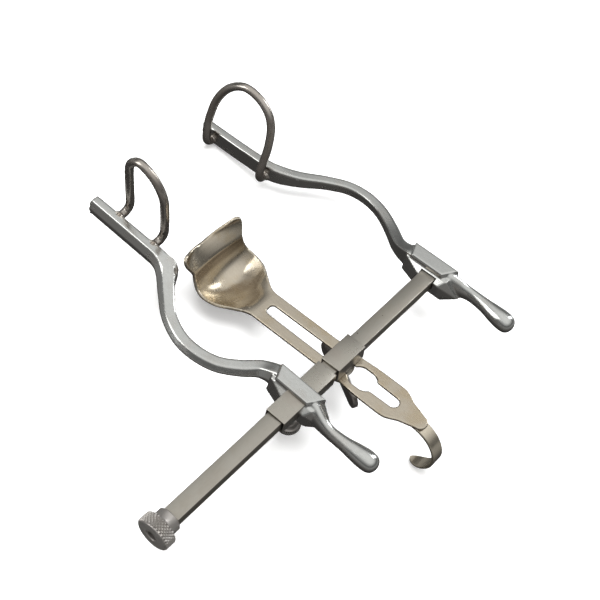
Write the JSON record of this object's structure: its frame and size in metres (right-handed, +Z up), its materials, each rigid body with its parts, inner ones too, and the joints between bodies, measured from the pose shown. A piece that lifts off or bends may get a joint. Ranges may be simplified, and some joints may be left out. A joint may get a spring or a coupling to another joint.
{
  "type": "frame retractor",
  "caption": "Small self-retaining frame retractor: flat crossbar, fixed and sliding arms with finger grips and wire blades, and a slotted scoop blade on a sliding clamp.",
  "frame": {"origin": "middle of the bounding box's footprint, at the surface the instrument lies on", "axes": "+X along the crossbar from the knurled knob to the fixed arm, +Y from the finger grips to the wire blades, +Z up"},
  "size_m": [0.1886, 0.1816, 0.0598],
  "materials": {
    "satin_steel": "satin ground stainless steel, grey",
    "knurled_steel": "darker knurled steel with grime in its grooves",
    "warm_sheet": "brushed sheet steel with a warm yellowish tone"
  },
  "bodies": {
    "frame": {"crossbar": "satin_steel", "right_arm": "satin_steel", "right_wire_blade": "satin_steel", "right_pin": "satin_steel"},
    "knob": {"end_knob": "knurled_steel"},
    "sliding_arm": {"left_arm": "satin_steel", "left_sleeve": "satin_steel", "left_wire_blade": "satin_steel"},
    "arm_screw": {"thumb_screw": "knurled_steel"},
    "clamp": {"clamp_box": "satin_steel", "clamp_stud": "knurled_steel", "clamp_washer": "satin_steel"},
    "blade": {"centre_blade": "warm_sheet", "blade_hook": "satin_steel"},
    "clamp_nut": {"wing_nut": "knurled_steel"}
  },
  "joints": [
    {"name": "knob_turn", "type": "hinge", "parent": "frame", "child": "knob", "pos_m": [-0.089, -0.03598, 0.02539], "axis": [1, 0, 0], "continuous": true},
    {"name": "arm_slide", "type": "slide", "parent": "frame", "child": "sliding_arm", "axis": [-1, 0, 0], "range_m": [0, 0.054]},
    {"name": "arm_screw_turn", "type": "hinge", "parent": "sliding_arm", "child": "arm_screw", "pos_m": [-0.0149, -0.03672, 0.01491], "axis": [0, 0.0711, 0.9975], "continuous": true},
    {"name": "clamp_slide", "type": "slide", "parent": "frame", "child": "clamp", "axis": [1, 0, 0], "range_m": [0, 0.026]},
    {"name": "blade_slide", "type": "slide", "parent": "clamp", "child": "blade", "axis": [0, 0.9875, -0.1578], "range_m": [-0.028, 0.006]},
    {"name": "wing_nut_turn", "type": "hinge", "parent": "clamp", "child": "clamp_nut", "pos_m": [0.0148, -0.03747, 0.016], "axis": [0, 0.1578, 0.9875], "continuous": true}
  ]
}
